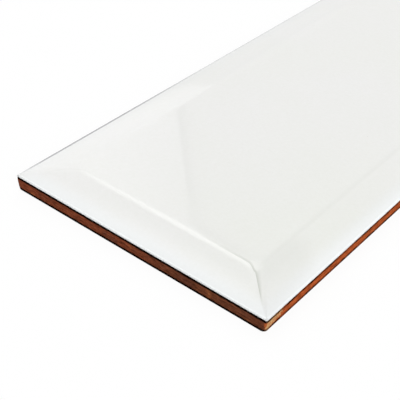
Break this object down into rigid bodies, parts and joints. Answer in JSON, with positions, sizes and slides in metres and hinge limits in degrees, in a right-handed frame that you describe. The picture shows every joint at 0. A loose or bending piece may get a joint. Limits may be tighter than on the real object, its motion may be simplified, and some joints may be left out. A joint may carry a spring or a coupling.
{
  "type": "bevelled ceramic wall tile",
  "caption": "Long rectangular wall tile with a raised flat field, mitred bevels on all sides, glossy white glaze and a red clay body with a keyed back.",
  "frame": {"origin": "centre of the tile's back, on the plane that it lies on", "axes": "+X along the tile's length, +Y across its width, +Z out of the glazed face"},
  "size_m": [0.3, 0.1, 0.0088],
  "materials": {
    "clay": "unglazed fired red clay, matt and slightly sandy",
    "glaze": "glossy white glaze"
  },
  "bodies": {
    "root": {"clay_body": "clay", "glaze": "glaze"}
  },
  "joints": []
}
